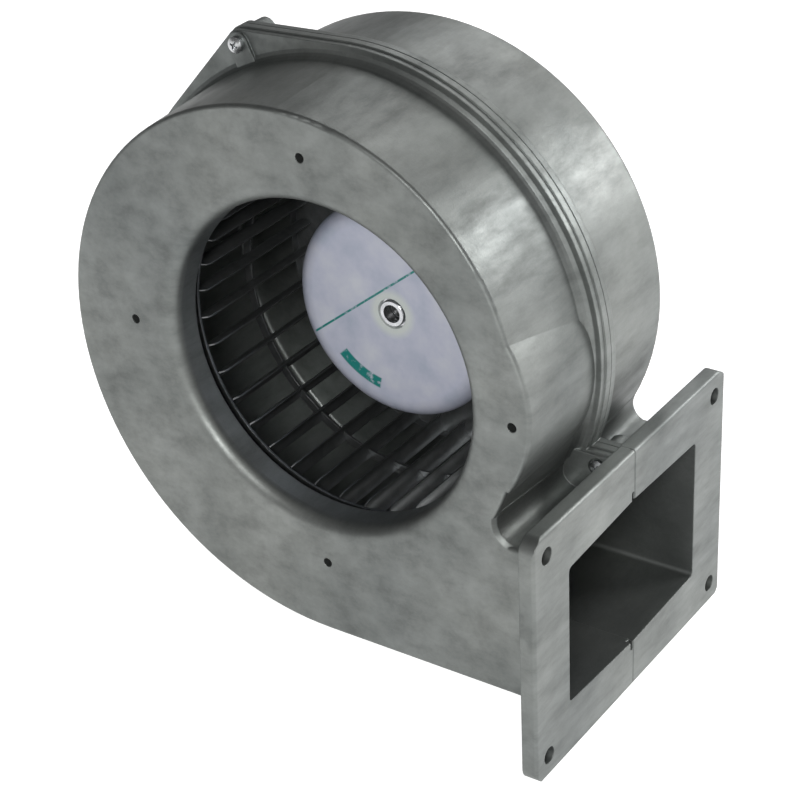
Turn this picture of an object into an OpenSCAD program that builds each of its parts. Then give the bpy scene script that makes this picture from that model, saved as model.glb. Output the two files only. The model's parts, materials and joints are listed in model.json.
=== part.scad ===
// DC centrifugal blower: two-part cast scroll housing, drum impeller, external-rotor motor.
// X is the way the air leaves, Y runs from the inlet face into the housing, Z is up.
// The origin is the centre of the inlet, on the inlet face. Seen from the inlet the rotor turns
// counter-clockwise, from +X towards +Z.

/* [Housing] */
// Depth over both housing halves
housing_depth = 99; // [98:0.5:101]
// Wall thickness of the castings
wall = 3; // [2.6:0.2:3.4]
// Outer radius of the first scroll arc, at the parting plane
scroll_r = 94.1; // [93.5:0.2:94.9]
// Growth of the scroll radius in each quarter turn
scroll_step = 7.5; // [7:0.5:8]
// Draft of the inlet half's side wall, in degrees
inlet_draft = 3; // [2:0.5:3.5]
// Draft of the motor half's side wall, in degrees
motor_draft = 1.6; // [1:0.2:3]
// Edge radius round the inlet face
inlet_edge = 1.6; // [1:0.2:2]
// Edge radius round the motor face
motor_edge = 3; // [2:0.5:4]

/* [Parting rim] */
// Width of the rim outside the side wall
rim_w = 5; // [4:0.5:5.5]
// Thickness of the rim on the inlet half
inlet_rim_t = 6; // [5:0.5:6.5]
// Thickness of the rim on the motor half
motor_rim_t = 2.8; // [2.4:0.2:4]
// Height of the step round the front of the rim
rim_step = 0.6; // [0.4:0.1:1]
// Radius of the screw lugs
lug_r = 5.5; // [5:0.5:7]

/* [Inlet] */
// Radius of the nozzle throat
throat_r = 62.4; // [61:0.2:63]
// Radius of the nozzle's rounded mouth
mouth_r = 5.6; // [4.6:0.2:6.4]
// Depth of the nozzle behind the inlet face
nozzle_depth = 13.3; // [12:0.1:14.5]
// Pitch circle of the four inlet fixing holes
inlet_pcd = 160; // [159:1:161]
// Radius of the inlet fixing holes
inlet_hole_r = 1.8; // [1.7:0.1:2.1]

/* [Outlet flange] */
// Distance of the flange face from the rotor axis
flange_x = 99.6; // [98:0.2:102]
// Thickness of the flange
flange_t = 6; // [5:0.5:7]
// Width of the flange, along the rotor axis
flange_w = 138.6; // [137:0.2:142]
// Height of the flange
flange_h = 100.5; // [99:0.5:102]
// Corner radius of the flange
flange_corner = 6; // [5:0.5:7]
// Edge radius of the flange
flange_edge = 1.2; // [0.8:0.2:1.6]
// Hole spacing along the rotor axis
flange_hole_w = 122; // [121:1:124]
// Hole spacing in height
flange_hole_h = 83; // [82:1:84]
// Radius of the flange holes
flange_hole_r = 3.3; // [2.8:0.1:3.5]

/* [Impeller] */
// Number of blades
blade_count = 37; // [30:1:40]
// Radius of the blades' inner edges
blade_in_r = 64.8; // [64:0.2:65.4]
// Radius to which a blade's section is curved
blade_bend_r = 5.8; // [5.4:0.1:6]
// Thickness of the blade sheet
blade_t = 0.6; // [0.5:0.1:0.8]
// Outer radius of the impeller's rings
impeller_r = 72.8; // [72.6:0.1:73.4]
// Front of the impeller, behind the inlet face
impeller_front_y = 18.6; // [17.5:0.1:19.5]
// Front face of the back disc
back_disc_y = 89.6; // [89:0.1:90]

/* [Rotor] */
// Outer radius of the rotor cup
cup_r = 42.4; // [42:0.1:43]
// Front face of the rotor cup, behind the inlet face
cup_front_y = 48.5; // [47:0.5:49]
// Radius of the cup's rounded edge
cup_edge = 5; // [4:0.5:5.5]
// Sheet thickness of the cup
cup_t = 1.6; // [1.4:0.1:1.8]
// Radius of the shaft
shaft_r = 3.5; // [3.4:0.1:3.5]

/* [Stator] */
// Number of stator teeth
tooth_count = 9; // [6:3:12]
// Air gap between stator and magnets
air_gap = 0.7; // [0.6:0.1:1]
// Length of the lamination stack
stack_len = 20; // [18:1:22]

/* [Hidden] */
$fn = 96;

cast_colour = [0.62, 0.64, 0.63];
sheet_colour = [0.22, 0.23, 0.23];
steel_colour = [0.75, 0.76, 0.78];
cup_colour = [0.66, 0.68, 0.74];

// ---- housing layout, in the plane of the scroll: [x, z] ----
seam_y = housing_depth / 2;
half_depth = housing_depth / 2;
scroll_c1 = [-9, 4];
scroll_c2 = scroll_c1 - [0, scroll_step];
scroll_c3 = scroll_c2 + [scroll_step, 0];
// Neighbouring curved walls and outlines meet in a clean step of this size.
clean_step = 0.03;
scroll_r2 = scroll_r + scroll_step + clean_step;
scroll_r3 = scroll_r2 + scroll_step + clean_step;
duct_top = -45.4;
edge_lobe_c = [36, 2];
edge_lobe_r = 51;
edge_lobe_a = 34;
duct_bottom = scroll_c3[1] - scroll_r3 - clean_step;
duct_mid = (duct_top + duct_bottom) / 2;
tongue_r = 5.4;
tongue_step = 0.15;
tongue_z = duct_top + tongue_r;
tongue_x = scroll_c1[0] + sqrt(pow(scroll_r + tongue_r, 2) - pow(tongue_z - scroll_c1[1], 2));
tongue_c = [tongue_x, tongue_z];
tongue_a = atan2(tongue_z - scroll_c1[1], tongue_x - scroll_c1[0]);
flange_z = -79;
flange_bottom = flange_z - flange_h / 2;
flange_top = flange_z + flange_h / 2;
rim_step_y = seam_y - 3.3;
parting_gap = 0.4;
parting_depth = 1.2;
web_extra = 1.2;
seam_chamfer = 0.35;
mount_r = inlet_pcd / 2;

// ---- screws that clamp the halves: two in lugs, two in the corners behind the flange ----
rim_r2 = scroll_r2 + rim_w;
rim_r3 = scroll_r3 + rim_w;
lug_half_angle = 23;
top_lug_a = 115.5;
low_lug_a = 226;
function lug_centre(c, r, a) = c + (r - lug_r) / cos(lug_half_angle) * [cos(a), sin(a)];
top_lug = lug_centre(scroll_c2, rim_r2, top_lug_a);
low_lug = lug_centre(scroll_c3, rim_r3, low_lug_a);
tongue_screw = [88.6, -35.6];
foot_screw = [84.5, duct_bottom - rim_w - 3.6];
screw_points = [top_lug, low_lug, tongue_screw, foot_screw];
screw_wall = [
    scroll_c2 + scroll_r2 * [cos(top_lug_a), sin(top_lug_a)],
    scroll_c3 + scroll_r3 * [cos(low_lug_a), sin(low_lug_a)],
    [tongue_screw[0] - 7, duct_top],
    [foot_screw[0], duct_bottom]
];
screw_shank_r = 1.5;
motor_screw_shank_r = 2;
screw_head_r = 3;
screw_head_h = 2.2;
screw_end_y = 57.5;
pad_r = 4.4;
pad_heights = [1.2, 1.2, 0, 0];
seat_depth = 1.2;
boss_end_y = 60;
inlet_boss_r = 4.6;
inlet_boss_y = 13;
inlet_hole_depth = 11;

// ---- shaft line, positions along Y ----
hub_front_y = cup_front_y - 0.2;
shaft_front_y = cup_front_y + 4.5;
hub_flange_y = cup_front_y + cup_t;
hub_ring_r = 5.2;
cup_hole_r = 6;
bearing_r = 9.5;
bearing_w = 6;
bearing_pitch_r = 6.5;
ball_r = 1.9;
ball_count = 7;
race_inner_r = 5.3;
race_outer_r = 7.7;
front_bearing_y = 56;
rear_bearing_y = 84;
spring_t = 0.8;
ring_y = rear_bearing_y + bearing_w + 0.05;
ring_t = 0.8;
shaft_end_y = 93.4;
tube_r = 12.5;
tube_bore_r = 7.9;
tube_front_y = front_bearing_y - 0.6;
magnet_t = 4.2;
magnet_y = 56;
magnet_len = 27;
stack_y = 59.5;
insulator_t = 1.2;
coil_over = 5.2;
stator_r = cup_r - cup_t - magnet_t - air_gap;
core_r = 18;
tooth_w = 7;
board_y = 86.2;
board_t = 1.6;
board_r = 36;
board_screw_r = 33.4;
plate_y = 93;
plate_r = 44;
rear_inner_y = housing_depth - wall;
gasket_t = 0.5;
motor_screw_r = 37.4;
motor_seat_r = 30;
grommet_at = [0, -20];
grommet_r = 4.5;
cup_rear_y = back_disc_y - 1.2;
cup_flange_r = 50;
rivet_ring_r = 46.6;
rivet_r = 1.6;
fit_gap = 0.05;

// ---- helpers ----
// Position along Y of a point t behind the closed face of a half (0: inlet half, 1: motor half).
function at(half, t) = half == 0 ? t : housing_depth - t;

// Extrudes an outline of the [x, z] plane from y0 to y1.
module slab(y0, y1) {
    translate([0, y1, 0])
        rotate([90, 0, 0])
            linear_extrude(y1 - y0)
                children();
}

// Turns a section of [radius, y] points round the rotor axis, or round the axis through c.
module turn(c = [0, 0]) {
    translate([c[0], 0, c[1]])
        rotate([-90, 0, 0])
            rotate_extrude()
                children();
}

// Turns a section of [radius, y] points from angle a0 to angle a1 round the axis through c.
module sweep(c, a0, a1) {
    translate([c[0], 0, c[1]])
        rotate([90, 0, 0])
            rotate_extrude(angle = a1 - a0, start = a0)
                mirror([0, 1])
                    children();
}

// Extrudes a section of the [y, z] plane from x0 to x1.
module run(x0, x1) {
    translate([x0, 0, 0])
        rotate([90, 0, 90])
            linear_extrude(x1 - x0)
                children();
}

// Repeats its children n times round the rotor axis.
module around(n, first = 0) {
    for (i = [0 : n - 1])
        rotate([0, -first - i * 360 / n, 0])
            children();
}

module ring(r0, r1, y0, y1) {
    turn()
        translate([r0, y0])
            square([r1 - r0, y1 - y0]);
}

module round_rect(w, h, r) {
    square([w - 2 * r, h], center = true);
    square([w, h - 2 * r], center = true);
    for (x = [-1, 1], y = [-1, 1])
        translate([x * (w / 2 - r), y * (h / 2 - r)])
            circle(r);
}

// A bar with round ends from a to b.
module bar(a, b, r) {
    d = b - a;
    translate(a)
        circle(r);
    translate(b)
        circle(r);
    translate(a)
        rotate(atan2(d[1], d[0]))
            translate([0, clean_step - r])
                square([norm(d), 2 * (r - clean_step)]);
}

// ---- housing castings ----
// Section of a half's drafted wall: r is its radius at the parting plane, the closed end sits t0
// behind the face, and e is the edge radius there.
module wall_section(half, r, t0, e, draft) {
    r0 = r - (half_depth - t0) * tan(draft);
    polygon([
        [0, at(half, t0)], [r0 - e, at(half, t0)], [r0, at(half, t0 + e)],
        [r, at(half, half_depth)], [0, at(half, half_depth)]
    ]);
    translate([r0 - e, at(half, t0 + e)])
        circle(e);
}

// Section of the straight duct across its length, drafted like the scroll's wall.
module duct_section(half, inset, t0, e, draft) {
    lean = (half_depth - t0) * tan(draft);
    top = duct_top - inset;
    bottom = duct_bottom + inset;
    polygon([
        [at(half, half_depth), bottom], [at(half, t0 + e), bottom + lean],
        [at(half, t0), bottom + lean + e], [at(half, t0), top - lean - e],
        [at(half, t0 + e), top - lean], [at(half, half_depth), top]
    ]);
    for (z = [bottom + lean + e, top - lean - e])
        translate([at(half, t0 + e), z])
            circle(e);
}

// The scroll with its duct, as one block for one half, inset from the outer surface.
module scroll_block(half, inset, t0, e, x_end) {
    draft = half == 0 ? inlet_draft : motor_draft;
    sweep(scroll_c1, -90, 90)
        wall_section(half, scroll_r - inset, t0, e, draft);
    sweep(scroll_c2, 90, 180)
        wall_section(half, scroll_r2 - inset, t0, e, draft);
    sweep(scroll_c3, 180, 270)
        wall_section(half, scroll_r3 - inset, t0, e, draft);
    run(scroll_c3[0], x_end)
        duct_section(half, inset, t0, e, draft);
}

// Fills the outer corner between scroll and duct, round the axis of its fillet.
module tongue_fill(half) {
    draft = half == 0 ? inlet_draft : motor_draft;
    edge = half == 0 ? inlet_edge : motor_edge;
    r1 = tongue_r - tongue_step;
    r0 = r1 + half_depth * tan(draft);
    y0 = min(at(half, 0), at(half, half_depth));
    difference() {
        slab(y0, y0 + half_depth)
            polygon([
                [60, duct_top - 5], [tongue_x, duct_top - 5], tongue_c,
                tongue_c - 14 * [cos(tongue_a), sin(tongue_a)], [60, duct_top + 5]
            ]);
        turn(tongue_c) {
            polygon([
                [0, at(half, -1)], [r0 + edge, at(half, -1)], [r0 + edge, at(half, 0)],
                [r0, at(half, edge)], [r1, at(half, half_depth)], [r1, at(half, half_depth + 1)],
                [0, at(half, half_depth + 1)]
            ]);
        }
    }
}

// Outline of the scroll and duct at the parting plane, grown by g.
module seam_outline(g) {
    intersection() {
        translate(scroll_c1)
            circle(scroll_r + g);
        translate([scroll_c1[0], -150])
            square([200, 300]);
    }
    intersection() {
        translate(scroll_c2)
            circle(scroll_r2 + g);
        translate([scroll_c2[0] - 150, scroll_c2[1]])
            square([150, 150]);
    }
    intersection() {
        translate(scroll_c3)
            circle(scroll_r3 + g);
        translate(scroll_c3 - [150, 150])
            square([150, 150]);
    }
    translate([scroll_c3[0], duct_bottom - g])
        square([flange_x - 1 - scroll_c3[0], duct_top - duct_bottom + 2 * g]);
}

// A screw lug between two tangents of the rim circle of centre c and radius r, inset by g.
module lug(c, r, a, g) {
    p = lug_centre(c, r, a);
    n1 = [cos(a - lug_half_angle), sin(a - lug_half_angle)];
    n2 = [cos(a + lug_half_angle), sin(a + lug_half_angle)];
    s = g + clean_step;
    polygon([c, c + (r - s) * n1, p + (lug_r - s) * n1, p + (lug_r - s) * n2, c + (r - s) * n2]);
    translate(p)
        circle(lug_r - g);
}

// One layer of the rim that the halves meet at, with its lugs and the webs behind the flange.
module rim_layer(y0, y1, g) {
    slab(y0, y1)
        seam_outline(rim_w - g);
    slab(y0, y1)
        lug(scroll_c2, rim_r2, top_lug_a, g);
    slab(y0, y1)
        lug(scroll_c3, rim_r3, low_lug_a, g);
    slab(y0, y1)
        translate([62, duct_top - 1])
            square([flange_x - 1 - 62, 17 - g]);
    slab(y0, y1)
        translate([foot_screw[0] - 9 + g, foot_screw[1] - 5.4 + g])
            square([flange_x - foot_screw[0] + 8 - g, 14 - g]);
}

// The thicker webs that carry the two screws behind the flange.
module screw_webs(y0, y1) {
    slab(y0, y1)
        translate([64, duct_top - 1])
            square([flange_x - 1 - 64, 16.4 - rim_step]);
    slab(y0, y1)
        translate([foot_screw[0] - 8, foot_screw[1] - 4.8])
            square([flange_x - foot_screw[0] + 7, 13]);
}

// Section of the hollow fillet between a wall of radius r and the rim; in_z turns it for the duct.
function skirt(half, r, y) = [
    for (p = [[-1, 0], [2.6, 0], [1.2, 0.7], [0.45, 1.7], [-0.2, 3.4], [-1, 3.4]])
        [r - 0.3 + p[0], half == 0 ? y - p[1] : y + p[1]]
];

module rim_skirt(half, y) {
    sweep(scroll_c1, -24, 90)
        polygon(skirt(half, scroll_r, y));
    sweep(scroll_c2, 90, 180)
        polygon(skirt(half, scroll_r2, y));
    sweep(scroll_c3, 180, 270)
        polygon(skirt(half, scroll_r3, y));
    run(scroll_c3[0], flange_x - 1)
        polygon([for (p = skirt(half, -duct_bottom, y)) [p[1], -p[0]]]);
}

module screw_bars(y0, y1, heights) {
    for (i = [0 : 3])
        slab(y0 - heights[i], y1)
            bar(screw_points[i], screw_wall[i], pad_r);
}

module seam_screw_holes(r, y0, y1) {
    for (p = screw_points)
        slab(y0, y1)
            translate(p)
                circle(r);
}

// One half of the outlet flange, with rounded edges round its face.
module flange_half(half) {
    y0 = half == 0 ? seam_y - flange_w / 2 : seam_y;
    intersection() {
        run(flange_x - flange_t, flange_x)
            translate([seam_y, flange_z])
                round_rect(flange_w, flange_h, flange_corner);
        translate([0, 0, flange_bottom - 1])
            linear_extrude(flange_h + 2)
                translate([flange_x - flange_t, seam_y])
                    round_rect(2 * flange_t, flange_w, flange_edge);
        slab(seam_y - flange_w / 2 - 1, seam_y + flange_w / 2 + 1)
            translate([flange_x - flange_t, flange_z])
                round_rect(2 * flange_t, flange_h, flange_edge);
        translate([flange_x - flange_t - 1, y0, flange_bottom - 1])
            cube([flange_t + 2, flange_w / 2, flange_h + 2]);
    }
}

module flange_holes() {
    for (y = [-1, 1], z = [-1, 1])
        translate([0, seam_y + y * flange_hole_w / 2, flange_z + z * flange_hole_h / 2])
            rotate([0, 90, 0])
                translate([0, 0, flange_x - flange_t - 1])
                    cylinder(r = flange_hole_r, h = flange_t + 2);
}

// The parting groove across the flange face: a slot with broken edges.
module seam_groove() {
    translate([flange_x, seam_y, flange_bottom - 1])
        rotate([0, 0, 45])
            translate([-seam_chamfer, -seam_chamfer, 0])
                cube([2 * seam_chamfer, 2 * seam_chamfer, flange_h + 2]);
    translate([flange_x - 2.4, seam_y - parting_gap / 2, flange_bottom - 1])
        cube([3, parting_gap, flange_h + 2]);
}

// Small recesses beside the parting line, at the top and bottom edge of the opening.
module opening_notches() {
    for (z = [duct_top - wall, duct_bottom + wall]) {
        side = z > flange_z ? 1 : -1;
        translate([flange_x - 2, seam_y - 1.4, z + side * 2.6])
            rotate([0, 90, 0])
                cylinder(r = 0.9, h = 3);
        translate([flange_x - 2, seam_y - 2.29, side > 0 ? z - 1 : z - 2.6])
            cube([3, 1.78, 3.6]);
    }
}

// Collar behind the inlet, with its inner corner filled.
module nozzle_collar() {
    turn()
        polygon([
            [throat_r - 1, 1], [throat_r - 1, nozzle_depth], [throat_r + 2.6, nozzle_depth],
            [throat_r + 2.6, wall + 5], [throat_r + mouth_r + 2, wall], [throat_r + mouth_r + 2, 1]
        ]);
}

// What the nozzle leaves open: the throat, and the rounded mouth in front of it.
module nozzle_opening() {
    turn()
        translate([0, -1])
            square([throat_r, nozzle_depth + 2]);
    turn()
        difference() {
            translate([throat_r - 1, -1])
                square([mouth_r + 1, mouth_r + 1]);
            translate([throat_r + mouth_r, mouth_r])
                circle(mouth_r);
        }
}

module inlet_housing() {
    color(cast_colour)
        difference() {
            union() {
                scroll_block(0, 0, 0, inlet_edge, flange_x - 1);
                sweep(edge_lobe_c, -edge_lobe_a, edge_lobe_a)
                    wall_section(0, edge_lobe_r, 0, inlet_edge, 0);
                tongue_fill(0);
                rim_layer(seam_y - inlet_rim_t, rim_step_y, rim_step);
                rim_layer(rim_step_y, seam_y - parting_gap, 0);
                rim_layer(seam_y - parting_gap, seam_y, parting_depth);
                rim_skirt(0, seam_y - inlet_rim_t);
                screw_webs(seam_y - inlet_rim_t - web_extra, seam_y - parting_gap);
                screw_bars(seam_y - inlet_rim_t, seam_y - parting_gap, pad_heights);
                flange_half(0);
            }
            difference() {
                scroll_block(0, wall, wall, 2, flange_x + 1);
                nozzle_collar();
                around(4)
                    slab(0, inlet_boss_y)
                        translate([mount_r, 0])
                            circle(inlet_boss_r);
            }
            nozzle_opening();
            around(4)
                slab(-1, inlet_hole_depth)
                    translate([mount_r, 0])
                        circle(inlet_hole_r);
            seam_screw_holes(screw_shank_r + 0.25, 30, seam_y + 1);
            for (i = [2, 3])
                slab(30, seam_y - inlet_rim_t)
                    translate(screw_points[i])
                        circle(screw_head_r + 0.7);
            flange_holes();
            seam_groove();
            opening_notches();
        }
}

module motor_housing() {
    color(cast_colour)
        difference() {
            union() {
                scroll_block(1, 0, 0, motor_edge, flange_x - 1);
                tongue_fill(1);
                rim_layer(seam_y, seam_y + motor_rim_t, 0);
                rim_skirt(1, seam_y + motor_rim_t);
                screw_bars(seam_y, boss_end_y, [0, 0, 0, 0]);
                flange_half(1);
            }
            scroll_block(1, wall, wall, 2, flange_x + 1);
            slab(rear_inner_y - 1, housing_depth + 1)
                circle(motor_seat_r);
            around(4, 45)
                slab(rear_inner_y - 1, housing_depth + 1)
                    translate([motor_screw_r, 0])
                        circle(2.3);
            seam_screw_holes(screw_shank_r + fit_gap, seam_y - 1, screw_end_y + 1);
            flange_holes();
            seam_groove();
        }
}

// A pan-head screw along +Y from the point p, its head's underside at y0 and its end at y1.
module pan_screw(p, y0, y1, head_r, head_h, shank_r) {
    difference() {
        union() {
            slab(y0, y1)
                translate(p)
                    circle(shank_r);
            turn(p)
                intersection() {
                    translate([0, y0 - head_h])
                        square([head_r, head_h]);
                    translate([0, y0 - head_h + 2.2 * head_r])
                        circle(2.2 * head_r);
                }
        }
        for (a = [20, 110])
            translate([p[0], y0 - head_h - 0.01, p[1]])
                rotate([0, a, 0])
                    translate([-0.55 * head_r, 0, -0.4])
                        cube([1.1 * head_r, 0.6 * head_h, 0.8]);
    }
}

module housing_screws() {
    color(steel_colour)
        for (i = [0 : 3])
            pan_screw(screw_points[i], seam_y - inlet_rim_t - pad_heights[i], screw_end_y,
                screw_head_r, screw_head_h, screw_shank_r);
}

// ---- impeller ----
// Section of one forward-curved blade, at angle 0.
module blade_section(t) {
    lean_in = 25;
    blade_h = 7.2;
    intersection() {
        translate([blade_in_r + blade_bend_r * sin(lean_in), blade_bend_r])
            difference() {
                circle(blade_bend_r + t / 2);
                circle(blade_bend_r - t / 2);
            }
        translate([blade_in_r, -1])
            square([blade_h, 4.6]);
    }
}

module impeller_blades() {
    corner = 5;
    front = impeller_front_y + 1;
    corner_c = [blade_in_r + corner, front + corner];
    color(sheet_colour)
        around(blade_count)
            difference() {
                slab(front, back_disc_y)
                    blade_section(blade_t);
                // The inner corner at the front is rounded off.
                translate([0, 0, -3])
                    linear_extrude(9)
                        polygon(concat(
                            [corner_c - [corner + 1, corner + 1]],
                            [[corner_c[0], front - 1]],
                            [for (a = [270 : -22.5 : 180]) corner_c + corner * [cos(a), sin(a)]],
                            [[blade_in_r - 1, corner_c[1]]]
                        ));
            }
}

module impeller_front_ring() {
    color(sheet_colour)
        turn()
            polygon([
                [65.6, impeller_front_y], [impeller_r - 0.6, impeller_front_y],
                [impeller_r, impeller_front_y + 0.6], [impeller_r, impeller_front_y + 4.4],
                [impeller_r - 0.5, impeller_front_y + 4.4], [impeller_r - 0.5, impeller_front_y + 1],
                [65.6, impeller_front_y + 1]
            ]);
}

module impeller_support_ring() {
    color(sheet_colour)
        difference() {
            ring(69.5, impeller_r, 56, 57);
            around(blade_count)
                slab(55, 58)
                    blade_section(blade_t + 2 * fit_gap);
        }
}

module impeller_back_disc() {
    color(sheet_colour)
        difference() {
            union() {
                ring(cup_r + 0.6, impeller_r, back_disc_y, back_disc_y + 1.2);
                ring(impeller_r - 0.5, impeller_r, back_disc_y - 3.4, back_disc_y + 0.6);
            }
            around(6)
                slab(back_disc_y - 1, back_disc_y + 3)
                    translate([rivet_ring_r, 0])
                        circle(rivet_r + fit_gap);
        }
}

module impeller_rivets() {
    head_r = 2.7;
    color(steel_colour)
        around(6) {
            slab(cup_rear_y - 0.9, back_disc_y + 2.1)
                translate([rivet_ring_r, 0])
                    circle(rivet_r);
            slab(cup_rear_y - 0.9, cup_rear_y)
                translate([rivet_ring_r, 0])
                    circle(head_r);
            slab(back_disc_y + 1.2, back_disc_y + 2.1)
                translate([rivet_ring_r, 0])
                    circle(head_r);
        }
}

// ---- rotor ----
module cup_section(r, y0, y1, e) {
    translate([0, y0])
        square([r - e, y1 - y0]);
    translate([0, y0 + e])
        square([r, y1 - y0 - e]);
    translate([r - e, y0 + e])
        circle(e);
}

module rotor_cup() {
    color(cup_colour)
        difference() {
            union() {
                turn()
                    cup_section(cup_r, cup_front_y, back_disc_y, cup_edge);
                ring(cup_r - 1, cup_flange_r, cup_rear_y, back_disc_y);
            }
            turn()
                cup_section(cup_r - cup_t, cup_front_y + cup_t, back_disc_y + 1, cup_edge - cup_t);
            slab(cup_front_y - 1, cup_front_y + cup_t + 1)
                circle(cup_hole_r);
            around(6)
                slab(cup_rear_y - 1, back_disc_y + 1)
                    translate([rivet_ring_r, 0])
                        circle(rivet_r + fit_gap);
        }
}

module rotor_hub() {
    bore = shaft_r + 0.02;
    color(steel_colour)
        turn()
            polygon([
                [bore, hub_front_y], [hub_ring_r - 0.3, hub_front_y], [hub_ring_r, hub_front_y + 0.3],
                [hub_ring_r, hub_flange_y], [11, hub_flange_y], [11, hub_flange_y + 2.4],
                [race_inner_r - 0.3, hub_flange_y + 2.4], [race_inner_r - 0.3, front_bearing_y],
                [bore, front_bearing_y]
            ]);
}

module rotor_magnets() {
    gap_a = 3;
    color([0.25, 0.25, 0.27])
        for (i = [0 : 5])
            sweep([0, 0], i * 60, i * 60 + 60 - gap_a)
                translate([cup_r - cup_t - magnet_t, magnet_y])
                    square([magnet_t - 0.02, magnet_len]);
}

module shaft() {
    groove_r = shaft_r - 0.6;
    color(steel_colour)
        turn()
            polygon([
                [0, shaft_front_y], [shaft_r - 0.4, shaft_front_y], [shaft_r, shaft_front_y + 0.4],
                [shaft_r, ring_y], [groove_r, ring_y], [groove_r, ring_y + ring_t + fit_gap],
                [shaft_r, ring_y + ring_t + fit_gap], [shaft_r, shaft_end_y - 0.5],
                [shaft_r - 0.5, shaft_end_y], [0, shaft_end_y]
            ]);
}

// Snap ring in the shaft's groove, open on one side.
module retaining_ring() {
    color([0.3, 0.3, 0.32])
        sweep([0, 0], -60, 240)
            translate([shaft_r - 0.6 + 0.02, ring_y])
                square([2.4, ring_t]);
}

// ---- bearings ----
module race_groove(y0) {
    turn()
        translate([bearing_pitch_r, y0 + bearing_w / 2])
            circle(ball_r + fit_gap);
}

module bearing_inner(y0) {
    color(steel_colour)
        difference() {
            ring(shaft_r + 0.02, race_inner_r, y0, y0 + bearing_w);
            race_groove(y0);
        }
}

module bearing_outer(y0) {
    color(steel_colour)
        difference() {
            ring(race_outer_r, bearing_r, y0, y0 + bearing_w);
            race_groove(y0);
        }
}

module ball_places(y0) {
    around(ball_count)
        translate([bearing_pitch_r, y0 + bearing_w / 2, 0])
            children();
}

module bearing_balls(y0) {
    cage_w = 3.2;
    mid = y0 + bearing_w / 2;
    color(steel_colour)
        ball_places(y0)
            sphere(ball_r);
    color([0.7, 0.6, 0.3])
        difference() {
            ring(bearing_pitch_r - 0.3, bearing_pitch_r + 0.3, mid - cage_w / 2, mid + cage_w / 2);
            ball_places(y0)
                rotate([0, 90, 0])
                    cylinder(r = ball_r + fit_gap, h = 3, center = true);
        }
    // Side rails of the cage, outside the balls.
    color([0.7, 0.6, 0.3])
        for (s = [-1, 1])
            ring(bearing_pitch_r - 0.3, bearing_pitch_r + 0.3,
                mid + s * 2.2 - 0.2, mid + s * 2.2 + 0.2);
}

module front_bearing_inner() {
    bearing_inner(front_bearing_y);
}

module front_bearing_balls() {
    bearing_balls(front_bearing_y);
}

module front_bearing_outer() {
    bearing_outer(front_bearing_y);
}

module rear_bearing_inner() {
    bearing_inner(rear_bearing_y);
}

module rear_bearing_balls() {
    bearing_balls(rear_bearing_y);
}

module rear_bearing_outer() {
    bearing_outer(rear_bearing_y);
}

module preload_spring() {
    y0 = front_bearing_y + bearing_w;
    color(steel_colour)
        ring(tube_bore_r + 0.1, bearing_r - 0.2, y0, y0 + spring_t);
}

// ---- motor flange and stator ----
module board_pillar_places() {
    around(3, 30)
        translate([board_screw_r, 0, 0])
            children();
}

module motor_flange() {
    color([0.7, 0.71, 0.72])
        difference() {
            union() {
                turn()
                    polygon([
                        [0, tube_front_y], [tube_r, tube_front_y], [tube_r, plate_y - 3],
                        [tube_r + 1.5, plate_y], [plate_r, plate_y],
                        [plate_r, rear_inner_y - gasket_t],
                        [motor_seat_r - 0.2, rear_inner_y - gasket_t],
                        [motor_seat_r - 0.2, housing_depth - 1], [motor_seat_r - 0.8, housing_depth - 0.4],
                        [0, housing_depth - 0.4]
                    ]);
                around(4, 45)
                    slab(plate_y - 2.2, plate_y + 1)
                        translate([motor_screw_r, 0])
                            circle(3.6);
                around(3, 30)
                    slab(board_y + board_t, plate_y + 1)
                        translate([board_screw_r, 0])
                            circle(2.4);
            }
            ring(0, bearing_r + 0.02, tube_front_y - 1, front_bearing_y + bearing_w + spring_t);
            ring(0, tube_bore_r, tube_front_y, rear_bearing_y + 1);
            ring(0, bearing_r + 0.02, rear_bearing_y, housing_depth + 1);
            around(4, 45)
                slab(plate_y - 3, rear_inner_y)
                    translate([motor_screw_r, 0])
                        circle(motor_screw_shank_r + fit_gap);
            around(3, 30)
                slab(board_y, plate_y - 0.6)
                    translate([board_screw_r, 0])
                        circle(1.25 + fit_gap);
            slab(plate_y - 1, housing_depth)
                translate(grommet_at)
                    circle(grommet_r);
        }
}

module bearing_cap() {
    color(steel_colour)
        ring(0, bearing_r, housing_depth - 2.2, housing_depth - 1.2);
}

module motor_gasket() {
    color([0.15, 0.15, 0.15])
        difference() {
            ring(motor_seat_r + 0.1, plate_r, rear_inner_y - gasket_t, rear_inner_y);
            around(4, 45)
                slab(rear_inner_y - 2, rear_inner_y + 1)
                    translate([motor_screw_r, 0])
                        circle(2.3);
        }
}

// Pan-head screws from behind: drawn towards +Y, then turned round.
module motor_screws() {
    color(steel_colour)
        around(4, 45)
            translate([motor_screw_r, housing_depth, 0])
                rotate([180, 0, 0])
                    pan_screw([0, 0], 0, housing_depth - plate_y + 2, 3.6, 2.4, motor_screw_shank_r);
}

module stator_outline(grow) {
    tip_a = 17;
    difference() {
        circle(core_r + grow);
        circle(tube_r + fit_gap);
    }
    for (i = [0 : tooth_count - 1])
        rotate(i * 360 / tooth_count) {
            translate([core_r - 1, -tooth_w / 2 - grow])
                square([stator_r - core_r - 0.5, tooth_w + 2 * grow]);
            intersection() {
                difference() {
                    circle(stator_r);
                    circle(stator_r - 2.4);
                }
                polygon([
                    [0, 0], 60 * [cos(tip_a), -sin(tip_a)], [60, 0], 60 * [cos(tip_a), sin(tip_a)]
                ]);
            }
        }
}

module stator_core() {
    color([0.45, 0.46, 0.5])
        slab(stack_y, stack_y + stack_len)
            stator_outline(0);
}

module insulator(y0) {
    color([0.85, 0.83, 0.75])
        slab(y0, y0 + insulator_t)
            stator_outline(0.3);
}

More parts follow.
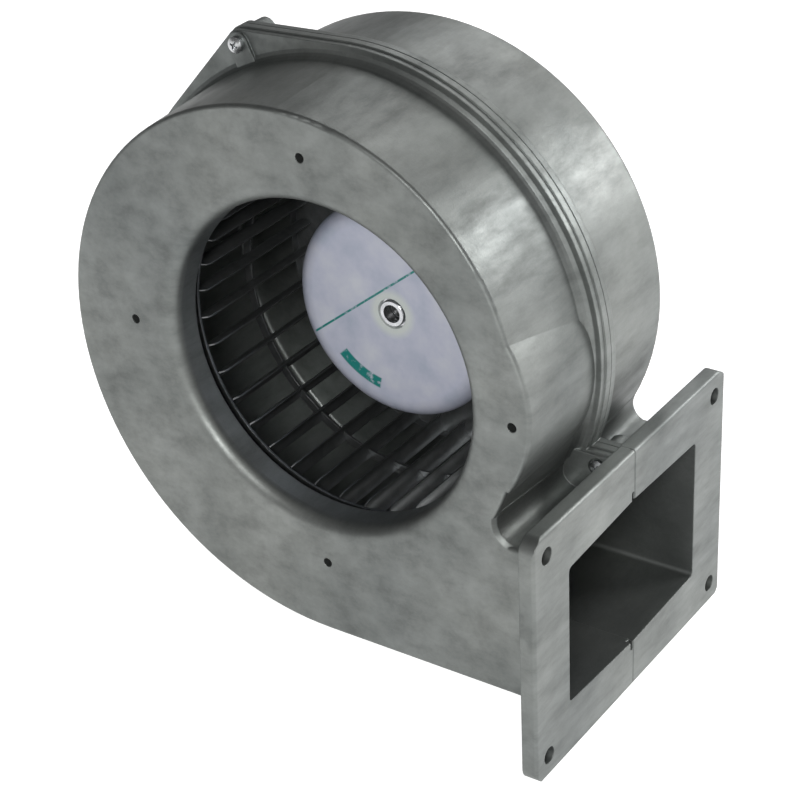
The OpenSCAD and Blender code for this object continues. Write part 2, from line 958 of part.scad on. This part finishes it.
module front_insulator() {
    insulator(stack_y - insulator_t);
}

module rear_insulator() {
    insulator(stack_y + stack_len);
}

module stator_coils() {
    wire_t = 2.4;
    clear_w = tooth_w + 0.8;
    color([0.72, 0.4, 0.2])
        for (i = [0 : tooth_count - 1])
            rotate([0, -i * 360 / tooth_count, 0])
                difference() {
                    run(core_r + 1.4, stator_r - 3)
                        translate([stack_y + stack_len / 2, 0])
                            round_rect(stack_len + 2 * coil_over, clear_w + 2 * wire_t, 2.4);
                    run(core_r, stator_r)
                        translate([stack_y + stack_len / 2, 0])
                            square([stack_len + 2 * insulator_t + 0.04, clear_w], center = true);
                }
}

module circuit_board() {
    color([0.1, 0.35, 0.2])
        difference() {
            ring(tube_r + 1, board_r, board_y, board_y + board_t);
            around(3, 30)
                slab(board_y - 1, board_y + board_t + 1)
                    translate([board_screw_r, 0])
                        circle(1.4);
        }
}

// Capacitors, power transistors and a controller on the rear of the board.
module board_components() {
    y0 = board_y + board_t;
    color([0.15, 0.15, 0.17])
        for (a = [60, 120, 180])
            rotate([0, -a, 0])
                translate([24, y0, -3])
                    cube([6.5, 2.4, 6]);
    color([0.15, 0.15, 0.17])
        rotate([0, -5, 0])
            translate([18, y0, -4.5])
                cube([9, 1.6, 9]);
    color([0.3, 0.32, 0.4])
        for (a = [205, 225, 330])
            rotate([0, -a, 0])
                slab(y0, y0 + 4.2)
                    translate([25, 0])
                        circle(3.4);
}

module board_screws() {
    color(steel_colour)
        around(3, 30)
            pan_screw([board_screw_r, 0], board_y, board_y + 6, 2.1, 1.2, 1.25);
}

// Rubber grommet that holds the leads in the motor flange.
module lead_grommet() {
    bore = 2.4;
    color([0.08, 0.08, 0.08])
        turn(grommet_at)
            polygon([
                [bore, plate_y - 1.4], [5.2, plate_y - 1.4], [5.2, plate_y],
                [grommet_r - 0.02, plate_y], [grommet_r - 0.02, housing_depth - 0.4],
                [6, housing_depth - 0.4], [6, housing_depth + 0.8], [4.4, housing_depth + 2],
                [bore, housing_depth + 2]
            ]);
}

inlet_housing();
motor_housing();
housing_screws();
impeller_blades();
impeller_front_ring();
impeller_support_ring();
impeller_back_disc();
impeller_rivets();
rotor_cup();
rotor_hub();
rotor_magnets();
shaft();
retaining_ring();
front_bearing_inner();
front_bearing_balls();
front_bearing_outer();
rear_bearing_inner();
rear_bearing_balls();
rear_bearing_outer();
preload_spring();
motor_flange();
motor_gasket();
motor_screws();
stator_core();
front_insulator();
rear_insulator();
stator_coils();
circuit_board();
board_components();
board_screws();
bearing_cap();
lead_grommet();
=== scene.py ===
# Looks of the DC centrifugal blower: procedural finishes, rotor markings, camera and light.
# Lengths are in metres, in the frame of the CAD: X is the way the air leaves, Y runs from the
# inlet face into the housing, Z is up, and the origin is the centre of the inlet.
import json
import math

import bpy
from mathutils import Matrix, Vector


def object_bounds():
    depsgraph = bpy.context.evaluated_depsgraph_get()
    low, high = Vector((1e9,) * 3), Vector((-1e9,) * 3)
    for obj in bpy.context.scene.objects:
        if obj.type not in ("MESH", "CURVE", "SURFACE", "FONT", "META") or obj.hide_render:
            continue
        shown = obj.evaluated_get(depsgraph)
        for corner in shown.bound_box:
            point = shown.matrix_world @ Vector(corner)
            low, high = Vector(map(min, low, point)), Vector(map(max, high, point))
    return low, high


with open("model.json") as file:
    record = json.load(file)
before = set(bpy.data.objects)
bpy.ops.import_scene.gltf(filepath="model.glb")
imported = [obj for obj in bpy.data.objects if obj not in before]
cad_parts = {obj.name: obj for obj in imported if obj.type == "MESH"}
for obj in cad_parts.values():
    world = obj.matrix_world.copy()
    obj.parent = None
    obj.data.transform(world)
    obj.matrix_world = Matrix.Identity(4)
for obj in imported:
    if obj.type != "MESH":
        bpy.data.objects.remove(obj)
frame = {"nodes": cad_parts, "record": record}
loaded_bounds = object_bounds()

# The rotor's painted marks, in radians and metres about the rotor axis.
MARK_LINE_ANGLE = math.radians(128)
MARK_LINE_OFFSET = 0.009
MARK_BAR_ANGLE = math.radians(240.5 - 360)
MARK_BAR_HALF = math.radians(17.5)
MARK_LINE_HALF = 0.0004
MARK_BAR_RADIUS = 0.0312
MARK_BAR_WIDTH_HALF = 0.0022
MARK_LIMIT_RADIUS = 0.0385
# Where along Y the painted shade on the shaft's end, near black as the hole in the hub's mouth looks,
# gives way to bright steel.
SHAFT_SHADE_END = (0.0532, 0.0536)


# ---- node helpers ----
def new_material(name):
    mat = bpy.data.materials.new(name)
    mat.use_nodes = True
    nodes = mat.node_tree.nodes
    return mat, nodes, mat.node_tree.links, nodes["Principled BSDF"]


def add(nodes, kind, **settings):
    node = nodes.new(kind)
    for key, value in settings.items():
        if hasattr(node, key):
            setattr(node, key, value)
        else:
            node.inputs[key.replace("_", " ")].default_value = value
    return node


def noise(nodes, links, coord, scale, detail=4.0, rough=0.6, stretch=(1, 1, 1)):
    """Noise of object space; scale is in features per metre, stretch multiplies each axis."""
    mapping = add(nodes, "ShaderNodeMapping")
    mapping.inputs["Scale"].default_value = [scale * s for s in stretch]
    links.new(coord, mapping.inputs["Vector"])
    tex = add(nodes, "ShaderNodeTexNoise")
    tex.inputs["Scale"].default_value = 1.0
    tex.inputs["Detail"].default_value = detail
    tex.inputs["Roughness"].default_value = rough
    links.new(mapping.outputs["Vector"], tex.inputs["Vector"])
    return tex.outputs["Fac"]


def ramp(nodes, links, fac, stops):
    """Colour ramp; stops are (position, grey or colour)."""
    node = add(nodes, "ShaderNodeValToRGB")
    elements = node.color_ramp.elements
    while len(elements) < len(stops):
        elements.new(0.5)
    for element, (pos, value) in zip(elements, stops):
        element.position = pos
        colour = (value,) * 3 if isinstance(value, (int, float)) else value
        element.color = (*colour, 1.0)
    links.new(fac, node.inputs["Fac"])
    return node.outputs["Color"]


def ramp_value(nodes, links, fac, low_end, high_end):
    """Maps fac from low_end..high_end to 0..1, as a plain number."""
    node = add(nodes, "ShaderNodeMapRange")
    node.inputs["From Min"].default_value = low_end
    node.inputs["From Max"].default_value = high_end
    links.new(fac, node.inputs["Value"])
    return node.outputs["Result"]


def mix(nodes, links, kind, fac, a, b):
    """Mixes two colours; fac, a and b are sockets or values."""
    node = add(nodes, "ShaderNodeMix", data_type="RGBA", blend_type=kind)
    for socket, value in ((node.inputs[0], fac), (node.inputs[6], a), (node.inputs[7], b)):
        if isinstance(value, bpy.types.NodeSocket):
            links.new(value, socket)
        elif isinstance(value, (int, float)):
            socket.default_value = value
        else:
            socket.default_value = (*value, 1.0)
    return node.outputs[2]


def bump(nodes, links, bsdf, height, distance, strength=1.0, edge=None):
    """Bump from a height socket; edge adds rounded corners of that radius."""
    node = add(nodes, "ShaderNodeBump")
    node.inputs["Strength"].default_value = strength
    node.inputs["Distance"].default_value = distance
    links.new(height, node.inputs["Height"])
    if edge:
        bevel = add(nodes, "ShaderNodeBevel", samples=6)
        bevel.inputs["Radius"].default_value = edge
        links.new(bevel.outputs["Normal"], node.inputs["Normal"])
    links.new(node.outputs["Normal"], bsdf.inputs["Normal"])


# ---- finishes ----
def cast_aluminium():
    """Die-cast aluminium: cloudy flow marks, long die streaks, fine grain and a few dark specks."""
    mat, nodes, links, bsdf = new_material("cast_aluminium")
    coord = add(nodes, "ShaderNodeTexCoord").outputs["Object"]
    cloud = noise(nodes, links, coord, 26, 5, 0.62)
    flow = noise(nodes, links, coord, 70, 6, 0.7, (1, 0.35, 1.4))
    grain = noise(nodes, links, coord, 900, 3, 0.6)
    speck = noise(nodes, links, coord, 190, 8, 0.75)
    patch = noise(nodes, links, coord, 11, 3, 0.5)
    tone = ramp(nodes, links, cloud, [(0.3, (0.165, 0.175, 0.170)), (0.5, (0.20, 0.210, 0.204)),
                                      (0.72, (0.235, 0.246, 0.240))])
    veil = ramp(nodes, links, flow, [(0.32, 0.80), (0.5, 1.0), (0.66, 1.12)])
    tone = mix(nodes, links, "MULTIPLY", 1.0, tone, veil)
    dots = ramp(nodes, links, speck, [(0.70, 1.0), (0.76, 0.6)])
    tone = mix(nodes, links, "MULTIPLY", 0.7, tone, dots)
    tone = mix(nodes, links, "MULTIPLY", 1.0, tone,
               ramp(nodes, links, patch, [(0.35, (0.86, 0.875, 0.88)), (0.65, (1.06, 1.06, 1.04))]))
    links.new(tone, bsdf.inputs["Base Color"])
    bsdf.inputs["Metallic"].default_value = 0.9
    rough = ramp(nodes, links, flow, [(0.3, 0.56), (0.7, 0.40)])
    links.new(rough, bsdf.inputs["Roughness"])
    height = mix(nodes, links, "MIX", 0.25, flow, grain)
    bump(nodes, links, bsdf, height, 0.0004, 0.35, edge=0.0006)
    return mat


def machined_aluminium():
    """Turned aluminium with fine rings round the rotor axis."""
    mat, nodes, links, bsdf = new_material("machined_aluminium")
    coord = add(nodes, "ShaderNodeTexCoord").outputs["Object"]
    split = add(nodes, "ShaderNodeSeparateXYZ")
    links.new(coord, split.inputs[0])
    flat = add(nodes, "ShaderNodeCombineXYZ")
    links.new(split.outputs["X"], flat.inputs["X"])
    links.new(split.outputs["Z"], flat.inputs["Y"])
    length = add(nodes, "ShaderNodeVectorMath", operation="LENGTH")
    links.new(flat.outputs[0], length.inputs[0])
    ring = noise(nodes, links, length.outputs["Value"], 2600, 2, 0.5)
    links.new(ramp(nodes, links, ring, [(0.3, 0.5), (0.7, 0.62)]), bsdf.inputs["Base Color"])
    bsdf.inputs["Metallic"].default_value = 1.0
    links.new(ramp(nodes, links, ring, [(0.3, 0.42), (0.7, 0.3)]), bsdf.inputs["Roughness"])
    bump(nodes, links, bsdf, ring, 0.0001, 0.3, edge=0.0003)
    return mat


def sheet_steel(name, dark, light, metallic=0.9, rough=(0.5, 0.36)):
    """Zinc-coated sheet: a faint spangle over the colour, with smears along the rotor axis."""
    mat, nodes, links, bsdf = new_material(name)
    coord = add(nodes, "ShaderNodeTexCoord").outputs["Object"]
    cell = add(nodes, "ShaderNodeTexVoronoi", feature="F1")
    cell.inputs["Scale"].default_value = 260
    links.new(coord, cell.inputs["Vector"])
    spangle = add(nodes, "ShaderNodeSeparateColor")
    links.new(cell.outputs["Color"], spangle.inputs[0])
    smear = noise(nodes, links, coord, 90, 4, 0.6, (1, 0.25, 1))
    base = ramp(nodes, links, smear, [(0.3, dark), (0.7, light)])
    tint = ramp(nodes, links, spangle.outputs[0], [(0.0, 0.88), (1.0, 1.1)])
    links.new(mix(nodes, links, "MULTIPLY", 0.7, base, tint), bsdf.inputs["Base Color"])
    bsdf.inputs["Metallic"].default_value = metallic
    links.new(ramp(nodes, links, smear, [(0.3, rough[0]), (0.7, rough[1])]), bsdf.inputs["Roughness"])
    bump(nodes, links, bsdf, smear, 0.0002, 0.3, edge=0.0002)
    return mat


def plain(name, dark, light, metallic, rough, scale=300, depth=0.00008):
    """A finish with soft colour variation, matching roughness and a fine bump."""
    mat, nodes, links, bsdf = new_material(name)
    coord = add(nodes, "ShaderNodeTexCoord").outputs["Object"]
    fine = noise(nodes, links, coord, scale, 4, 0.6)
    links.new(ramp(nodes, links, fine, [(0.3, dark), (0.7, light)]), bsdf.inputs["Base Color"])
    links.new(ramp(nodes, links, fine, [(0.3, rough * 1.15), (0.7, rough * 0.85)]),
              bsdf.inputs["Roughness"])
    bsdf.inputs["Metallic"].default_value = metallic
    bump(nodes, links, bsdf, fine, depth, 0.5, edge=0.00015)
    return mat


def rotor_paint_and_rim_shade():
    """Pale lilac paint on the cup, darkened over its rounded rim as painted shade, a teal line beside
    the hub and a teal bar near its edge.
    """
    mat, nodes, links, bsdf = new_material("rotor_sheet")
    coord = add(nodes, "ShaderNodeTexCoord").outputs["Object"]
    split = add(nodes, "ShaderNodeSeparateXYZ")
    links.new(coord, split.inputs[0])

    def calc(kind, a, b=None, c=None):
        node = add(nodes, "ShaderNodeMath", operation=kind)
        for socket, value in zip(node.inputs, (a, b, c)):
            if isinstance(value, bpy.types.NodeSocket):
                links.new(value, socket)
            elif value is not None:
                socket.default_value = value
        return node.outputs[0]

    def within(value, mid, half, soft):
        """1 where value is within half of mid, fading over soft."""
        away = calc("ABSOLUTE", calc("SUBTRACT", value, mid))
        return calc("MULTIPLY_ADD", away, -1.0 / soft, half / soft + 0.5)

    x, z = split.outputs["X"], split.outputs["Z"]
    radius = calc("SQRT", calc("ADD", calc("MULTIPLY", x, x), calc("MULTIPLY", z, z)))
    angle = calc("ARCTAN2", z, x)
    blur = noise(nodes, links, coord, 60, 4, 0.6)
    fine = noise(nodes, links, coord, 420, 3, 0.6)
    lilac = ramp(nodes, links, blur, [(0.3, (0.40, 0.44, 0.54)), (0.5, (0.50, 0.52, 0.62)),
                                      (0.7, (0.58, 0.60, 0.66))])
    hub = ramp(nodes, links, calc("MULTIPLY", radius, 40.0), [(0.30, 1.0), (0.42, 0.0)])
    base = mix(nodes, links, "MIX", hub, lilac, (0.60, 0.64, 0.62))
    # Painted shade: the lilac darkens to under half over the cup's rounded rim, 35 to 43 mm from the
    # axis.
    edge = ramp(nodes, links, calc("MULTIPLY", radius, 20.0), [(0.70, 1.0), (0.86, 0.45)])
    base = mix(nodes, links, "MULTIPLY", 1.0, base, edge)
    along = calc("ADD", calc("MULTIPLY", x, math.cos(MARK_LINE_ANGLE)),
                 calc("MULTIPLY", z, math.sin(MARK_LINE_ANGLE)))
    line = within(along, MARK_LINE_OFFSET, MARK_LINE_HALF, 0.0002)
    bar = calc("MINIMUM", within(radius, MARK_BAR_RADIUS, MARK_BAR_WIDTH_HALF, 0.0005),
               within(angle, MARK_BAR_ANGLE, MARK_BAR_HALF, 0.02))
    mark = calc("MAXIMUM", line, bar)
    mark = calc("MINIMUM", mark, within(radius, 0.0, MARK_LIMIT_RADIUS, 0.001))
    mark = calc("MINIMUM", calc("MAXIMUM", mark, 0.0), 1.0)
    worn = calc("MULTIPLY", mark, ramp_value(nodes, links, fine, 0.25, 0.45))
    links.new(mix(nodes, links, "MIX", worn, base, (0.0, 0.19, 0.17)), bsdf.inputs["Base Color"])
    bsdf.inputs["Metallic"].default_value = 0.0
    bsdf.inputs["Roughness"].default_value = 0.42
    bump(nodes, links, bsdf, blur, 0.0001, 0.3, edge=0.0003)
    return mat


def shaft_steel_and_shade():
    """Ground steel; the end inside the hub's mouth is painted shade, near black and not metallic, as
    that hole looks dark.
    """
    mat, nodes, links, bsdf = new_material("shaft_steel_and_shade")
    coord = add(nodes, "ShaderNodeTexCoord").outputs["Object"]
    split = add(nodes, "ShaderNodeSeparateXYZ")
    links.new(coord, split.inputs[0])
    fine = noise(nodes, links, coord, 500, 3, 0.6)
    # Painted shade: in front of this point the shaft's end is near black and not metallic.
    depth = ramp_value(nodes, links, split.outputs["Y"], *SHAFT_SHADE_END)
    dark = ramp(nodes, links, fine, [(0.35, (0.006, 0.007, 0.006)), (0.65, (0.02, 0.022, 0.02))])
    steel = ramp(nodes, links, fine, [(0.3, (0.5, 0.51, 0.53)), (0.7, (0.66, 0.67, 0.69))])
    links.new(mix(nodes, links, "MIX", depth, dark, steel), bsdf.inputs["Base Color"])
    links.new(depth, bsdf.inputs["Metallic"])
    bsdf.inputs["Roughness"].default_value = 0.4
    bump(nodes, links, bsdf, fine, 0.00005, 0.3)
    return mat


FINISHES = {
    "cast_aluminium": cast_aluminium(),
    "machined_aluminium": machined_aluminium(),
    "galvanised_sheet": sheet_steel("galvanised_sheet", (0.13, 0.138, 0.140), (0.25, 0.258, 0.26)),
    "rotor_sheet": rotor_paint_and_rim_shade(),
    "screw_steel": plain("screw_steel", (0.5, 0.51, 0.52), (0.68, 0.69, 0.70), 1.0, 0.28),
    "bright_steel": plain("bright_steel", (0.5, 0.51, 0.53), (0.66, 0.67, 0.69), 1.0, 0.24),
    "dark_steel": plain("dark_steel", (0.06, 0.06, 0.065), (0.11, 0.11, 0.115), 1.0, 0.4),
    "magnet": plain("magnet", (0.03, 0.03, 0.032), (0.06, 0.06, 0.062), 0.2, 0.6),
    "lamination": plain("lamination", (0.2, 0.21, 0.24), (0.3, 0.31, 0.34), 0.9, 0.45),
    "copper_wire": plain("copper_wire", (0.42, 0.14, 0.05), (0.6, 0.24, 0.1), 0.8, 0.35),
    "insulator_plastic": plain("insulator_plastic", (0.62, 0.58, 0.46), (0.7, 0.66, 0.55), 0.0, 0.5),
    "board_laminate": plain("board_laminate", (0.02, 0.12, 0.05), (0.03, 0.17, 0.07), 0.0, 0.4),
    "component_plastic": plain("component_plastic", (0.02, 0.02, 0.022), (0.04, 0.04, 0.042), 0.0, 0.5),
    "black_rubber": plain("black_rubber", (0.012, 0.012, 0.012), (0.03, 0.03, 0.03), 0.0, 0.65),
}

for row in frame["record"]["subparts"]:
    obj = frame["nodes"][row["node"]]
    obj.data.materials.clear()
    obj.data.materials.append(FINISHES[row["material_slot"]])
frame["nodes"]["shaft"].data.materials[0] = shaft_steel_and_shade()

# ---- camera: the angle of the photo ----
AZIMUTH = 35.007
ELEVATION = 29.62
ROLL = -2.838
DISTANCE = 0.7616
TARGET = Vector((0.0357, 0.0, -0.0018))
LENS = 100.95
FLOOR_GLOW = 0.8

az, el, roll = (math.radians(v) for v in (AZIMUTH, ELEVATION, ROLL))
look = Vector((-math.sin(az) * math.cos(el), math.cos(az) * math.cos(el), -math.sin(el)))
right = Vector((math.cos(az), math.sin(az), 0))
up = right.cross(look)
right, up = (math.cos(roll) * right + math.sin(roll) * up,
             -math.sin(roll) * right + math.cos(roll) * up)
camera = bpy.data.objects.new("camera", bpy.data.cameras.new("camera"))
bpy.context.scene.collection.objects.link(camera)
camera.matrix_world = Matrix((
    (right.x, up.x, -look.x, 0), (right.y, up.y, -look.y, 0), (right.z, up.z, -look.z, 0),
    (0, 0, 0, 1)))
camera.location = TARGET - look * DISTANCE
camera.data.lens = LENS
camera.data.clip_start = 0.01
bpy.context.scene.camera = camera

# ---- light ----
low, high = loaded_bounds
centre = (Vector(low) + Vector(high)) / 2


def soft_box(name, toward, distance, size, power, colour=(1, 1, 1)):
    """A rectangular lamp that faces the object's middle from the given direction."""
    lamp = bpy.data.lights.new(name, "AREA")
    lamp.shape = "RECTANGLE"
    lamp.size, lamp.size_y = size
    lamp.energy = power
    lamp.color = colour
    obj = bpy.data.objects.new(name, lamp)
    bpy.context.scene.collection.objects.link(obj)
    obj.location = centre + Vector(toward).normalized() * distance
    obj.rotation_euler = (centre - obj.location).to_track_quat("-Z", "Y").to_euler()


soft_box("key_box", (0.60, 0.71, 0.40), 1.2, (0.40, 0.40), 6.5)
soft_box("top_box", (-0.1, 0.75, 0.65), 1.2, (0.8, 0.5), 3)
soft_box("camera_box", (0.40, -0.80, 0.45), 1.3, (0.25, 0.25), 9)
soft_box("outlet_box", (0.95, 0.10, -0.05), 1.3, (0.8, 0.6), 1.5)


def studio_world():
    """White for the camera; for other rays grey overhead and darker before the inlet face."""
    world = bpy.data.worlds.new("studio")
    bpy.context.scene.world = world
    world.use_nodes = True
    nodes, links = world.node_tree.nodes, world.node_tree.links
    coord = add(nodes, "ShaderNodeTexCoord")
    split = add(nodes, "ShaderNodeSeparateXYZ")
    links.new(coord.outputs["Generated"], split.inputs[0])
    height = ramp(nodes, links, split.outputs["Z"], [(0.0, 1.0), (0.12, 1.0), (0.4, 0.5), (1.0, 0.35)])
    toward = add(nodes, "ShaderNodeVectorMath", operation="DOT_PRODUCT")
    toward.inputs[1].default_value = (0.35, 0.35, 0.0)
    links.new(coord.outputs["Generated"], toward.inputs[0])
    shifted = add(nodes, "ShaderNodeMath", operation="ADD")
    links.new(toward.outputs["Value"], shifted.inputs[0])
    shifted.inputs[1].default_value = 0.5
    side = ramp(nodes, links, shifted.outputs[0], [(0.0, 0.12), (0.5, 0.4), (1.0, 0.9)])
    room = mix(nodes, links, "MULTIPLY", 1.0, height, side)
    path = add(nodes, "ShaderNodeLightPath")
    sky = mix(nodes, links, "MIX", path.outputs["Is Camera Ray"], room, (1.0, 1.0, 1.0))
    links.new(sky, nodes["Background"].inputs["Color"])
    nodes["Background"].inputs["Strength"].default_value = 1.0


def white_floor():
    """A white floor that glows for camera and glossy rays, and keeps a soft shadow."""
    bpy.ops.mesh.primitive_plane_add(size=60, location=(centre.x, centre.y, low[2] - 0.0005))
    floor = bpy.context.object
    floor.name = "floor"
    mat, nodes, links, bsdf = new_material("floor_white")
    bsdf.inputs["Base Color"].default_value = (0.8, 0.8, 0.8, 1)
    bsdf.inputs["Roughness"].default_value = 1.0
    bsdf.inputs["Specular IOR Level"].default_value = 0.0
    path = add(nodes, "ShaderNodeLightPath")
    seen = add(nodes, "ShaderNodeMath", operation="MAXIMUM")
    links.new(path.outputs["Is Camera Ray"], seen.inputs[0])
    links.new(path.outputs["Is Glossy Ray"], seen.inputs[1])
    both = add(nodes, "ShaderNodeMath", operation="MAXIMUM")
    links.new(seen.outputs[0], both.inputs[0])
    links.new(path.outputs["Is Transmission Ray"], both.inputs[1])
    glow = add(nodes, "ShaderNodeMath", operation="MULTIPLY")
    links.new(both.outputs[0], glow.inputs[0])
    glow.inputs[1].default_value = FLOOR_GLOW
    bsdf.inputs["Emission Color"].default_value = (1, 1, 1, 1)
    links.new(glow.outputs[0], bsdf.inputs["Emission Strength"])
    floor.data.materials.append(mat)


studio_world()
white_floor()

scene = bpy.context.scene
scene.view_settings.view_transform = "Standard"
